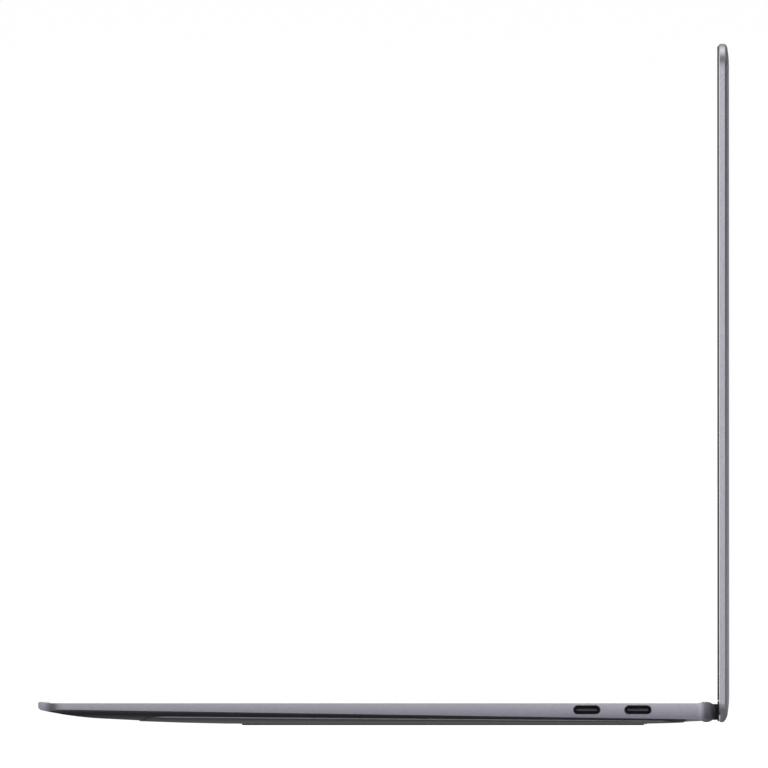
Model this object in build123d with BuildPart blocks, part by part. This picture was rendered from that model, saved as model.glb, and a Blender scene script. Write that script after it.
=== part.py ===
"""Thin 14-inch laptop computer, standing with its lid open at a right angle.

Millimetres.  +X is the user's right, -Y the front edge, +Y the hinge side, +Z up, Z = 0 the desk.
Lengths measured back from the front edge are turned into Y with back().
"""
import os
from math import sqrt

from build123d import *

os.makedirs("parts", exist_ok=True)

# Overall sizes
WIDTH = 310.0
OPEN_DEPTH = 226.0            # front edge to the back of the upright lid
HALF = WIDTH / 2
FRONT = -OPEN_DEPTH / 2
FOOT = 0.4                    # how far the feet stand out
PROUD = 0.25                  # how far the bottom cover stands out from the case round it
BASE_HEIGHT = 7.2
DECK = FOOT + BASE_HEIGHT
CORNER = 8.0                  # plan radius of the front corners
REAR_CORNER = 6.0
EDGE = 0.35                   # polished chamfer round the deck
DECK_WALL = 1.2
SKIN = 1.0                    # bottom cover thickness
CEILING = DECK - DECK_WALL    # underside of the deck

# Lid and hinge
LID_THICK = 3.85              # glass face to back
LID_GAP = 0.35                # closed gap between deck and glass
HINGE_Z = 4.3
KNUCKLE = DECK - HINGE_Z      # radius of the knuckles and of the barrel
GLASS_FACE = OPEN_DEPTH / 2 - LID_THICK
HINGE_Y = GLASS_FACE - KNUCKLE - LID_GAP
LID_BACK = OPEN_DEPTH / 2
LID_RIM = GLASS_FACE + 0.5    # front face of the aluminium rim
LID_BOTTOM = HINGE_Z - KNUCKLE
LID_TOP = HINGE_Z + HINGE_Y - FRONT
BARREL_HALF = 121.5           # half length of the hinge barrel
SHAFT_R = 1.47
SLEEVE_BORE = 1.5
SLEEVE_R = 2.1

# Base shell
UNDERCUT = 18.0               # how far the side undercut reaches inward
WALL_IN = 5.7                 # side wall thickness
COVER_INSET = 4.8
COVER_FRONT = 33.0
COVER_REAR = 211.0
COVER_GAP = 0.45
FLAT_START = 75.0
FLAT_END = 190.0
BELLY = (20.3, 1.8)           # a point of the front curve: distance back, height above the cover's flat
REAR_ARC_R = 488.0
REAR_WALL = 3.7               # hinge axis to the rear wall between the knuckles

# Keyboard
UNIT = 19.05                  # key pitch across
ROW = 18.2                    # key pitch front to back
FN_ROW = 11.5
KEY_GAP = 2.6
KEY_CORNER = 1.6
KEY_TOP = DECK - 0.1
KEY_HEIGHT = 1.8
KEY_BOTTOM = KEY_TOP - KEY_HEIGHT
KEY_WALL = 0.7
KEY_CLEAR = 0.35
KEYS_WIDE = 14.5 * UNIT
KEYS_FRONT = 99.5
KEYS_DEEP = 5 * ROW + FN_ROW
FRAME_MARGIN = 2.5
FRAME_THICK = 0.9
PLATE_TOP = KEY_BOTTOM - 1.3
PLATE_THICK = 0.3

# Touchpad
PAD_WIDE = 124.0
PAD_FRONT = 14.0
PAD_REAR = 92.0
PAD_TOP = DECK - 0.06
PAD_GAP = 0.3

# Ports, centred this far back and this far below the deck
PORTS = (179.5, 196.2)
PORT_Z = DECK - 2.6
PORT_WIDE = 8.6
PORT_HIGH = 2.75
PORT_LEAD = 0.2               # chamfer round each mouth
JACK_Z = 4.7
JACK_R = 1.8
JACK_BODY_R = 2.15

# Fans
FAN_X = 94.0
FAN_BACK = 160.0
FAN_R = 25.5


def back(distance):
    """Y of a point this far behind the front edge."""
    return FRONT + distance


def band_edge(y):
    """Height of the lower edge of the side band."""
    return FOOT + 4.81 - 0.01517 * (y - FRONT)


def arc_radius(run, rise):
    """Radius of an arc that leaves a flat tangentially and rises this much over the run."""
    return (run**2 + rise**2) / (2 * rise)


FRONT_ARC_R = arc_radius(FLAT_START - BELLY[0], BELLY[1] - PROUD)


def floor_height(distance):
    """Height of the cover's outer face this far behind the front edge."""
    if distance < FLAT_START:
        run = FLAT_START - distance
        return FOOT + FRONT_ARC_R - sqrt(FRONT_ARC_R**2 - run**2)
    if distance > FLAT_END:
        run = distance - FLAT_END
        return FOOT + REAR_ARC_R - sqrt(REAR_ARC_R**2 - run**2)
    return FOOT


def save(part, name):
    """Label one sub-part and write its STEP file."""
    part.label = name
    export_step(part, f"parts/{name}.step")


# ---------------------------------------------------------------- base shell blank
SIDE_ON = Plane.YZ


def undercut_section(y):
    """Cross-section of the air under the right-hand side band at one Y."""
    with BuildSketch(Plane(origin=(0, y, 0), x_dir=(1, 0, 0), z_dir=(0, -1, 0))) as section:
        with BuildLine():
            sweep_up = TangentArc((HALF - UNDERCUT, FOOT + PROUD), (HALF, band_edge(y)), tangent=(1, 0))
            Polyline(sweep_up @ 1, (HALF + 2, band_edge(y)), (HALF + 2, -2), (HALF - UNDERCUT, -2),
                     sweep_up @ 0)
        make_face()
    return section.sketch


with BuildPart() as undercut:
    add(undercut_section(FRONT - 2))
    add(undercut_section(HINGE_Y + 6))
    loft(ruled=True)
    mirror(about=Plane.YZ)

with BuildPart() as outline:
    with BuildSketch():
        with BuildLine():
            outline_rear = HINGE_Y + KNUCKLE
            Polyline((-HALF, FRONT), (HALF, FRONT), (HALF, outline_rear), (-HALF, outline_rear),
                     (-HALF, FRONT))
        make_face()
        fillet(vertices().group_by(Axis.Y)[0], CORNER)
        fillet(vertices().group_by(Axis.Y)[-1], REAR_CORNER)
    extrude(amount=DECK)
    chamfer(faces().sort_by(Axis.Z)[-1].edges(), EDGE)

with BuildPart() as blank:
    with BuildSketch(SIDE_ON):
        with BuildLine():
            flat = Line((back(FLAT_END), FOOT + PROUD), (back(FLAT_START), FOOT + PROUD))
            belly = TangentArc(flat @ 1, (back(BELLY[0]), FOOT + BELLY[1]), tangent=flat % 1)
            chin = TangentArc(belly @ 1, (back(0.8), FOOT + 4.6), tangent=belly % 1)
            Polyline(chin @ 1, (FRONT, FOOT + 5.4), (FRONT, DECK), (HINGE_Y, DECK))
            knuckle = CenterArc((HINGE_Y, HINGE_Z), KNUCKLE, 90, -145)
            TangentArc(flat @ 0, knuckle @ 1, tangent=(1, 0))
        make_face()
    extrude(amount=HALF, both=True)
    add(outline.part, mode=Mode.INTERSECT)
    add(undercut.part, mode=Mode.SUBTRACT)

with BuildPart() as skin:
    add(blank.part)
    add(blank.part.moved(Location((0, 0, SKIN))), mode=Mode.SUBTRACT)

with BuildPart() as cover_block:
    with BuildSketch(Plane.XY.offset(-1)):
        with Locations((0, back((COVER_FRONT + COVER_REAR) / 2))):
            RectangleRounded(WIDTH - 2 * COVER_INSET, COVER_REAR - COVER_FRONT, CORNER)
    extrude(amount=6)

# rubber rails that follow the cover's curve, set into it by FOOT_SEAT
RAIL_X = 121.5
RAIL_WIDE = 6.0
RAIL_FRONT = 66.0
RAIL_REAR = 198.0
FOOT_SEAT = 0.3
with BuildPart() as rubber_feet:
    with BuildSketch():
        rail_mid = back((RAIL_FRONT + RAIL_REAR) / 2)
        with Locations((-RAIL_X, rail_mid), (RAIL_X, rail_mid)):
            SlotOverall(RAIL_REAR - RAIL_FRONT, RAIL_WIDE, rotation=90)
    extrude(amount=FOOT + 1)
    chamfer(faces().group_by(Axis.Z)[0].edges(), 0.12)
    add(blank.part.moved(Location((0, 0, FOOT_SEAT - PROUD))), mode=Mode.SUBTRACT)
save(rubber_feet.part, "rubber_feet")

with BuildPart() as cover_opening:
    with BuildSketch(Plane.XY.offset(-1)):
        with Locations((0, back((COVER_FRONT + COVER_REAR) / 2))):
            RectangleRounded(WIDTH - 2 * COVER_INSET + 2 * COVER_GAP,
                             COVER_REAR - COVER_FRONT + 2 * COVER_GAP, CORNER + COVER_GAP)
    extrude(amount=6)
    add(skin.part, mode=Mode.INTERSECT)

CAVITY_FRONT = 4.0
with BuildPart() as cavity:
    with BuildSketch():
        with Locations((0, back((CAVITY_FRONT + COVER_REAR) / 2))):
            RectangleRounded(WIDTH - 2 * WALL_IN, COVER_REAR - CAVITY_FRONT, CORNER - 3)
    extrude(amount=CEILING)
    add(blank.part.moved(Location((0, 0, SKIN))), mode=Mode.INTERSECT)

# ---------------------------------------------------------------- screw and post places
COVER_SCREWS = [(130, 42), (70, 42), (130, 94.0), (143.2, 207.2), (58, 207.2)]
BRACKET_SCREWS = [(126, 208.4), (133, 208.4)]
POST_R = 2.3
HEAD_R = 1.9
SHANK_R = 0.8
BRACKET_Z = 2.9               # underside of the hinge bracket plates


def mirrored(places):
    """The same places on the left and the right, as (x, y)."""
    return [(side * x, back(distance)) for side in (1, -1) for x, distance in places]


def cover_screw_places():
    """Each cover screw's place on the left and the right, on the cover's outer face."""
    return [(side * x, back(d), floor_height(d)) for side in (1, -1) for x, d in COVER_SCREWS]


# ---------------------------------------------------------------- key layout
def key_row(widths, row_front, depth):
    """Cap places (x, y, width, depth) for one row, left to right; widths are in key units."""
    caps = []
    left = -KEYS_WIDE / 2
    for width in widths:
        caps.append((left + width * UNIT / 2, back(row_front + depth / 2),
                     width * UNIT - KEY_GAP, depth - KEY_GAP))
        left += width * UNIT
    return caps


SPACE_ROW = key_row([1, 1, 1, 1.25, 5, 1.25, 1, 1, 1, 1], KEYS_FRONT, ROW)
SHIFT_ROW = key_row([2.25] + [1] * 10 + [2.25], KEYS_FRONT + ROW, ROW)
HOME_ROW = key_row([1.75] + [1] * 11 + [1.75], KEYS_FRONT + 2 * ROW, ROW)
UPPER_ROW = key_row([1.5] + [1] * 13, KEYS_FRONT + 3 * ROW, ROW)
NUMBER_ROW = key_row([1] * 13 + [1.5], KEYS_FRONT + 4 * ROW, ROW)
FUNCTION_ROW = key_row([1.5] + [1] * 13, KEYS_FRONT + 5 * ROW, FN_ROW)
ARROW_GAP = 1.0
ARROW_DEEP = (ROW - KEY_GAP - ARROW_GAP) / 2


def half_key(cap, upper):
    """The upper or lower half of a full cap."""
    x, y, width, depth = cap
    shift = (depth - ARROW_DEEP) / 2
    return (x, y + shift if upper else y - shift, width, ARROW_DEEP)


KEY_NODES = {
    "key_escape": [FUNCTION_ROW[0]],
    "function_row_keys": FUNCTION_ROW[1:13],
    "number_row_keys": NUMBER_ROW[:13],
    "key_backspace": [NUMBER_ROW[13]],
    "key_tab": [UPPER_ROW[0]],
    "upper_letter_keys": UPPER_ROW[1:],
    "key_caps_lock": [HOME_ROW[0]],
    "home_letter_keys": HOME_ROW[1:12],
    "key_enter": [HOME_ROW[12]],
    "key_left_shift": [SHIFT_ROW[0]],
    "lower_letter_keys": SHIFT_ROW[1:11],
    "key_right_shift": [SHIFT_ROW[11]],
    "key_left_control": [SPACE_ROW[0]],
    "modifier_keys": [SPACE_ROW[1], SPACE_ROW[2], SPACE_ROW[3], SPACE_ROW[5], SPACE_ROW[6]],
    "key_space_bar": [SPACE_ROW[4]],
    "key_arrow_left": [half_key(SPACE_ROW[7], upper=False)],
    "key_arrow_up": [half_key(SPACE_ROW[8], upper=True)],
    "key_arrow_down": [half_key(SPACE_ROW[8], upper=False)],
    "key_arrow_right": [half_key(SPACE_ROW[9], upper=False)],
    "power_button": [FUNCTION_ROW[13]],
}


def key_caps(caps):
    """Tapered caps with soft top edges and a hollow underside."""
    with BuildPart() as keys:
        with BuildSketch(Plane.XY.offset(KEY_BOTTOM)):
            for x, y, width, depth in caps:
                with Locations((x, y)):
                    RectangleRounded(width, depth, KEY_CORNER)
        extrude(amount=KEY_HEIGHT, taper=8)
        fillet(faces().group_by(Axis.Z)[-1].edges(), 0.2)
        with BuildSketch(Plane.XY.offset(KEY_BOTTOM)):
            for x, y, width, depth in caps:
                with Locations((x, y)):
                    RectangleRounded(width - 2 * KEY_WALL, depth - 2 * KEY_WALL, KEY_CORNER - KEY_WALL)
        extrude(amount=KEY_HEIGHT - KEY_WALL, mode=Mode.SUBTRACT)
    return keys.part


for name, caps in KEY_NODES.items():
    save(key_caps(caps), name)

ALL_CAPS = [cap for caps in KEY_NODES.values() for cap in caps]
KEYS_MID = back(KEYS_FRONT + KEYS_DEEP / 2)

with BuildPart() as keyboard_frame:
    with BuildSketch(Plane.XY.offset(CEILING - FRAME_THICK)):
        with Locations((0, KEYS_MID)):
            Rectangle(KEYS_WIDE + 2 * FRAME_MARGIN, KEYS_DEEP + 2 * FRAME_MARGIN)
        for x, y, width, depth in ALL_CAPS:
            with Locations((x, y)):
                RectangleRounded(width + 2 * KEY_CLEAR, depth + 2 * KEY_CLEAR, KEY_CORNER,
                                 mode=Mode.SUBTRACT)
    extrude(amount=FRAME_THICK)
save(keyboard_frame.part, "keyboard_frame")

with BuildPart() as keyboard_plate:
    with Locations((0, KEYS_MID, PLATE_TOP - PLATE_THICK)):
        Box(KEYS_WIDE + 2 * FRAME_MARGIN, KEYS_DEEP + 2 * FRAME_MARGIN, PLATE_THICK,
            align=(Align.CENTER, Align.CENTER, Align.MIN))
    rim_height = CEILING - FRAME_THICK - PLATE_TOP
    with BuildSketch(Plane.XY.offset(PLATE_TOP)):
        with Locations((0, KEYS_MID)):
            Rectangle(KEYS_WIDE + 2 * FRAME_MARGIN, KEYS_DEEP + 2 * FRAME_MARGIN)
            Rectangle(KEYS_WIDE, KEYS_DEEP, mode=Mode.SUBTRACT)
    extrude(amount=rim_height)
save(keyboard_plate.part, "keyboard_plate")

DOME_R = 2.6
with BuildPart() as key_domes:
    with Locations([(x, y, PLATE_TOP) for x, y, width, depth in ALL_CAPS]):
        Cone(DOME_R, DOME_R * 0.6, 1.0, align=(Align.CENTER, Align.CENTER, Align.MIN))
save(key_domes.part, "key_domes")

# ---------------------------------------------------------------- top case
GRILLE_X = 146.3
GRILLE_WIDE = 8.4
GRILLE_THICK = 0.5
POCKET_DEEP = 8.2
PORT_PLACES = [(1, PORTS[0]), (1, PORTS[1]), (-1, PORTS[1])]
BRACKET_IN = 122.8
BRACKET_OUT = 136.4
VENT_PITCH = 4.0
VENT_X = 84.0

with BuildPart() as top_case:
    add(blank.part)
    with Locations((0, HINGE_Y - REAR_WALL, -1)):
        Box(2 * BARREL_HALF + 0.8, 20, DECK + 2, align=(Align.CENTER, Align.MIN, Align.MIN),
            mode=Mode.SUBTRACT)
    add(cover_opening.part, mode=Mode.SUBTRACT)
    add(cavity.part, mode=Mode.SUBTRACT)
    # posts for the cover screws
    for x, y, height in cover_screw_places():
        with Locations((x, y, height + SKIN + 0.6)):
            Cylinder(POST_R, CEILING + 0.2 - height - SKIN - 0.6,
                     align=(Align.CENTER, Align.CENTER, Align.MIN))
            Cylinder(SHANK_R, 2.2, align=(Align.CENTER, Align.CENTER, Align.MIN),
                     mode=Mode.SUBTRACT)
    with Locations([(x, y, BRACKET_Z + 1.0) for x, y in mirrored(BRACKET_SCREWS)]):
        Cylinder(1.9, CEILING + 0.2 - BRACKET_Z - 1.0, align=(Align.CENTER, Align.CENTER, Align.MIN))
        Cylinder(SHANK_R, 1.7, align=(Align.CENTER, Align.CENTER, Align.MIN), mode=Mode.SUBTRACT)
    # keyboard and touchpad windows
    with BuildSketch(Plane.XY.offset(CEILING - 0.5)):
        with Locations((0, KEYS_MID)):
            RectangleRounded(KEYS_WIDE + 1.0, KEYS_DEEP + 1.0, 2.4)
        with Locations((0, back((PAD_FRONT + PAD_REAR) / 2))):
            RectangleRounded(PAD_WIDE + 2 * PAD_GAP, PAD_REAR - PAD_FRONT + 2 * PAD_GAP, 4.0 + PAD_GAP)
    extrude(amount=DECK_WALL + 1, mode=Mode.SUBTRACT)
    # speaker grille seats
    with BuildSketch(Plane.XY.offset(CEILING - 1)):
        with Locations((GRILLE_X, KEYS_MID), (-GRILLE_X, KEYS_MID)):
            SlotOverall(KEYS_DEEP, GRILLE_WIDE, rotation=90)
    extrude(amount=DECK_WALL + 2, mode=Mode.SUBTRACT)
    # port mouths through the wall and the pockets behind them
    for side, distance in PORT_PLACES:
        with BuildSketch(Plane(origin=(side * (HALF + 1), back(distance), PORT_Z),
                               x_dir=(0, 1, 0), z_dir=(1, 0, 0))):
            SlotOverall(PORT_WIDE, PORT_HIGH)
        extrude(amount=-side * (HALF - 148), mode=Mode.SUBTRACT)
        with BuildSketch(Plane(origin=(side * HALF, back(distance), PORT_Z), x_dir=(0, 1, 0),
                               z_dir=(-side, 0, 0))):
            SlotOverall(PORT_WIDE + 2 * PORT_LEAD, PORT_HIGH + 2 * PORT_LEAD)
        extrude(amount=PORT_LEAD, taper=45, mode=Mode.SUBTRACT)
        with Locations((side * (HALF - 1.8 - POCKET_DEEP / 2), back(distance), PORT_Z)):
            Box(POCKET_DEEP, 9.3, 3.4, mode=Mode.SUBTRACT)
    with Locations(Location((-HALF - 1, back(PORTS[0]), JACK_Z), (0, 90, 0))):
        Cylinder(JACK_R, 8, align=(Align.CENTER, Align.CENTER, Align.MIN), mode=Mode.SUBTRACT)
    with Locations(Location((-HALF + 1.5, back(PORTS[0]), JACK_Z), (0, 90, 0))):
        Cylinder(JACK_BODY_R + 0.1, 13, align=(Align.CENTER, Align.CENTER, Align.MIN), mode=Mode.SUBTRACT)
    # hinge pockets in the knuckles
    for side in (1, -1):
        with Locations((side * (BRACKET_IN + BRACKET_OUT) / 2, back(COVER_REAR - 1), HINGE_Z - 1.7)):
            Box(BRACKET_OUT - BRACKET_IN, HINGE_Y - back(COVER_REAR - 1), 1.6,
                align=(Align.CENTER, Align.MIN, Align.MIN), mode=Mode.SUBTRACT)
        with Locations(Location((side * (BARREL_HALF + BRACKET_OUT) / 2, HINGE_Y, HINGE_Z), (0, 90, 0))):
            Cylinder(SLEEVE_R + 0.1, BRACKET_OUT - BARREL_HALF, mode=Mode.SUBTRACT)
    # exhaust slots through the rear wall
    with Locations((VENT_X, back(COVER_REAR), 3.1), (-VENT_X, back(COVER_REAR), 3.1)):
        with GridLocations(VENT_PITCH, 1, 14, 1):
            Box(2.4, 14, 1.9, mode=Mode.SUBTRACT)
save(top_case.part, "top_case")

with BuildPart() as speaker_grilles:
    with BuildSketch(Plane.XY.offset(DECK - GRILLE_THICK)):
        with Locations((GRILLE_X, KEYS_MID), (-GRILLE_X, KEYS_MID)):
            SlotOverall(KEYS_DEEP - 0.1, GRILLE_WIDE - 0.1, rotation=90)
            with GridLocations(1.8, 1.8, 4, 52):
                Circle(0.5, mode=Mode.SUBTRACT)
    extrude(amount=GRILLE_THICK)
save(speaker_grilles.part, "speaker_grilles")

# ---------------------------------------------------------------- bottom cover and screws
HEAD_DEEP = 0.7
with BuildPart() as bottom_cover:
    add(skin.part.moved(Location((0, 0, -PROUD))))
    add(cover_block.part, mode=Mode.INTERSECT)
    add(rubber_feet.part, mode=Mode.SUBTRACT)
    # raised pads behind the screws
    for x, y, height in cover_screw_places():
        with Locations((x, y, height + SKIN - 0.4)):
            Cylinder(POST_R, 1.0, align=(Align.CENTER, Align.CENTER, Align.MIN))
        with Locations((x, y, height - 1)):
            Cylinder(HEAD_R + 0.1, 1 + HEAD_DEEP, align=(Align.CENTER, Align.CENTER, Align.MIN),
                     mode=Mode.SUBTRACT)
            Cylinder(SHANK_R + 0.1, 5, align=(Align.CENTER, Align.CENTER, Align.MIN),
                     mode=Mode.SUBTRACT)
    with Locations(Location((-HALF + 1.5, back(PORTS[0]), JACK_Z), (0, 90, 0))):
        Cylinder(JACK_BODY_R + 0.1, 13, align=(Align.CENTER, Align.CENTER, Align.MIN), mode=Mode.SUBTRACT)
    # air intakes under the fans
    with BuildSketch(Plane.XY.offset(FOOT - 1)):
        with Locations((FAN_X, back(FAN_BACK)), (-FAN_X, back(FAN_BACK))):
            with GridLocations(8.0, 3.4, 6, 12):
                SlotOverall(6.2, 1.5)
    extrude(amount=4, mode=Mode.SUBTRACT)
save(bottom_cover.part, "bottom_cover")

with BuildPart() as cover_screws:
    for x, y, height in cover_screw_places():
        with Locations((x, y, height + 0.1)):
            Cylinder(HEAD_R, HEAD_DEEP - 0.1, align=(Align.CENTER, Align.CENTER, Align.MIN))
            Cylinder(SHANK_R, 3.2, align=(Align.CENTER, Align.CENTER, Align.MIN))
            Box(2.0, 0.5, 0.7, mode=Mode.SUBTRACT)
            Box(0.5, 2.0, 0.7, mode=Mode.SUBTRACT)
save(cover_screws.part, "cover_screws")

# ---------------------------------------------------------------- touchpad
PAD_MID = back((PAD_FRONT + PAD_REAR) / 2)
PAD_DEEP = PAD_REAR - PAD_FRONT
with BuildPart() as touchpad_glass:
    with BuildSketch(Plane.XY.offset(PAD_TOP - 0.8)):
        with Locations((0, PAD_MID)):
            RectangleRounded(PAD_WIDE, PAD_DEEP, 4.0)
    extrude(amount=0.8)
    chamfer(faces().sort_by(Axis.Z)[-1].edges(), 0.12)
save(touchpad_glass.part, "touchpad_glass")

with BuildPart() as touchpad_board:
    with Locations((0, PAD_MID, PAD_TOP - 0.8)):
        Box(PAD_WIDE - 4, PAD_DEEP - 4, 0.8, align=(Align.CENTER, Align.CENTER, Align.MAX))
    with Locations((0, back(PAD_FRONT + 10), PAD_TOP - 1.6)):
        Cylinder(2.5, 0.25, align=(Align.CENTER, Align.CENTER, Align.MAX))
save(touchpad_board.part, "touchpad_board")

BRACE_TOP = 5.0
with BuildPart() as touchpad_bracket:
    with Locations((0, back((PAD_FRONT + 6 + PAD_REAR) / 2), BRACE_TOP)):
        Box(PAD_WIDE - 30, PAD_DEEP - 6, 0.35, align=(Align.CENTER, Align.CENTER, Align.MAX))
        with GridLocations(30, 24, 3, 2):
            Box(22, 16, 2, mode=Mode.SUBTRACT)
save(touchpad_bracket.part, "touchpad_bracket")

# ---------------------------------------------------------------- inside the base
BATTERY_Z = 1.9
with BuildPart() as battery_pack:
    with Locations((-94, back(70)), (-31.5, back(70)), (31.5, back(70)), (94, back(70))):
        with Locations((0, 0, BATTERY_Z)):
            Box(60, 42, 2.6, align=(Align.CENTER, Align.CENTER, Align.MIN))
    fillet(edges().filter_by(Axis.Z), 2.0)
    fillet(faces().group_by(Axis.Z)[-1].edges(), 0.4)
save(battery_pack.part, "battery_pack")

BOARD_Z = 1.6
BOARD_TOP = 2.2
with BuildPart() as main_board:
    with Locations((0, back(148), BOARD_Z)):
        Box(124, 80, BOARD_TOP - BOARD_Z, align=(Align.CENTER, Align.CENTER, Align.MIN))
    with Locations((0, back(180), BOARD_Z)):
        Box(60, 22, BOARD_TOP - BOARD_Z, align=(Align.CENTER, Align.CENTER, Align.MIN))
    with Locations((56, back(116)), (-56, back(116)), (56, back(180)), (-56, back(180))):
        Cylinder(1.2, 10, mode=Mode.SUBTRACT)
save(main_board.part, "main_board")

with BuildPart() as board_chips:
    with Locations((0, back(162), BOARD_TOP)):
        Box(26, 24, 0.3, align=(Align.CENTER, Align.CENTER, Align.MIN))
        Box(14, 12, 0.7, align=(Align.CENTER, Align.CENTER, Align.MIN))
    with Locations((0, back(132), BOARD_TOP)):
        with GridLocations(20, 0, 4, 1):
            Box(14, 10, 0.9, align=(Align.CENTER, Align.CENTER, Align.MIN))
    with Locations((0, back(181), BOARD_TOP)):
        with GridLocations(13, 0, 4, 1):
            Box(5, 5, 1.2, align=(Align.CENTER, Align.CENTER, Align.MIN))
save(board_chips.part, "board_chips")

with BuildPart() as drive_module:
    with Locations((-42, back(116), BOARD_TOP + 0.2)):
        Box(22, 12, 1.2, align=(Align.CENTER, Align.CENTER, Align.MIN))
save(drive_module.part, "drive_module")

with BuildPart() as radio_module:
    with Locations((42, back(116), BOARD_TOP + 0.2)):
        Box(16, 12, 1.2, align=(Align.CENTER, Align.CENTER, Align.MIN))
save(radio_module.part, "radio_module")

FIN_BACK = 199.0
FIN_Z = 1.9
FIN_TOP = 2.9
with BuildPart() as fin_stacks:
    with Locations((FAN_X, back(FIN_BACK), FIN_Z), (-FAN_X, back(FIN_BACK), FIN_Z)):
        Box(50, 14, 0.2, align=(Align.CENTER, Align.CENTER, Align.MIN))
        with GridLocations(2.0, 0, 25, 1):
            Box(0.3, 14, FIN_TOP - FIN_Z, align=(Align.CENTER, Align.CENTER, Align.MIN))
save(fin_stacks.part, "fin_stacks")

with BuildPart() as heat_pipe:
    with BuildLine(Plane.XY.offset(FIN_TOP + 0.5)) as pipe_route:
        FilletPolyline((-118, back(FIN_BACK)), (-56, back(FIN_BACK)), (-18, back(162)), (18, back(162)),
                       (56, back(FIN_BACK)), (118, back(FIN_BACK)), radius=10)
    with BuildSketch(Plane(origin=pipe_route.line @ 0, x_dir=(0, 1, 0), z_dir=(1, 0, 0))):
        SlotOverall(6.0, 1.0)
    sweep()
save(heat_pipe.part, "heat_pipe")

FAN_FLOOR = 1.6
FAN_CEILING = 4.0
PIN_R = 1.0


def fan_housing(side):
    """Shallow fan box open to the rear, with round intakes and a centre pin."""
    with BuildPart() as housing:
        with Locations((side * FAN_X, back(FAN_BACK), FAN_FLOOR)):
            Box(56, 60, FAN_CEILING - FAN_FLOOR, align=(Align.CENTER, Align.CENTER, Align.MIN))
            with Locations((0, 0, 0.4)):
                Cylinder(FAN_R, 1.7, align=(Align.CENTER, Align.CENTER, Align.MIN), mode=Mode.SUBTRACT)
                Box(2 * FAN_R - 2, 40, 1.7, align=(Align.CENTER, Align.MIN, Align.MIN),
                    mode=Mode.SUBTRACT)
            Cylinder(17, 10, mode=Mode.SUBTRACT)
            Cylinder(7, 0.4, align=(Align.CENTER, Align.CENTER, Align.MIN))
            with PolarLocations(0, 3):
                Box(18, 3, 0.4, align=(Align.MIN, Align.CENTER, Align.MIN))
            Cylinder(PIN_R, 1.5, align=(Align.CENTER, Align.CENTER, Align.MIN))
    return housing.part


def fan_rotor(side):
    """Hub with a running-fit bore and swept blades."""
    with BuildPart() as rotor:
        with Locations((side * FAN_X, back(FAN_BACK), FAN_FLOOR + 0.75)):
            with PolarLocations(16.5, 23):
                Box(15, 0.5, 1.0, rotation=(0, 0, 32 * side),
                    align=(Align.CENTER, Align.CENTER, Align.MIN))
            Cylinder(11, 1.0, align=(Align.CENTER, Align.CENTER, Align.MIN))
            Cylinder(PIN_R + 0.04, 5, mode=Mode.SUBTRACT)
    return rotor.part


save(fan_housing(1), "fan_housing_right")
save(fan_housing(-1), "fan_housing_left")
save(fan_rotor(1), "fan_rotor_right")
save(fan_rotor(-1), "fan_rotor_left")


SPEAKER_X = 145.4
SPEAKER_BACK = 139.0
SPEAKER_WIDE = 7.2
SPEAKER_LONG = 62.0
SPEAKER_Z = 3.4
SPEAKER_HIGH = 2.0


def speaker(side):
    """Slim speaker box with a raised oval driver under the grille."""
    with BuildPart() as box:
        with Locations((side * SPEAKER_X, back(SPEAKER_BACK), SPEAKER_Z)):
            Box(SPEAKER_WIDE, SPEAKER_LONG, SPEAKER_HIGH, align=(Align.CENTER, Align.CENTER, Align.MIN))
        with BuildSketch(Plane.XY.offset(SPEAKER_Z + SPEAKER_HIGH)):
            with Locations((side * SPEAKER_X, back(SPEAKER_BACK))):
                SlotOverall(40, 6, rotation=90)
        extrude(amount=0.6)
    return box.part


save(speaker(1), "speaker_right")
save(speaker(-1), "speaker_left")

with BuildPart() as port_receptacles:
    for side, distance in PORT_PLACES:
        plane = Plane(origin=(side * (HALF - 1.9), back(distance), PORT_Z), x_dir=(0, 1, 0),
                      z_dir=(-side, 0, 0))
        with BuildSketch(plane):
            SlotOverall(8.94, 3.16)
        extrude(amount=POCKET_DEEP - 0.4)
        with BuildSketch(plane):
            SlotOverall(8.34, 2.56)
        extrude(amount=POCKET_DEEP - 1.4, mode=Mode.SUBTRACT)
        with BuildSketch(plane.offset(0.6)):
            Rectangle(6.69, 0.7)
        extrude(amount=POCKET_DEEP - 1.6)
save(port_receptacles.part, "port_receptacles")

PORT_BOARD_X = 142.6
PORT_BOARD_WIDE = 13.0
PORT_BOARD_Z = 2.75
with BuildPart() as port_boards:
    for side, middle, length in ((1, 187.0, 30), (-1, 196.2, 11)):
        with Locations((side * PORT_BOARD_X, back(middle), PORT_BOARD_Z)):
            Box(PORT_BOARD_WIDE, length, PORT_Z - 1.7 - PORT_BOARD_Z,
                align=(Align.CENTER, Align.CENTER, Align.MIN))
save(port_boards.part, "port_boards")

with BuildPart() as audio_jack:
    with Locations(Location((-HALF + 1.6, back(PORTS[0]), JACK_Z), (0, 90, 0))):
        Cylinder(JACK_BODY_R, 12.5, align=(Align.CENTER, Align.CENTER, Align.MIN))
        Cylinder(JACK_R, 12.1, align=(Align.CENTER, Align.CENTER, Align.MIN), mode=Mode.SUBTRACT)
save(audio_jack.part, "audio_jack")

# ---------------------------------------------------------------- hinges

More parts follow.
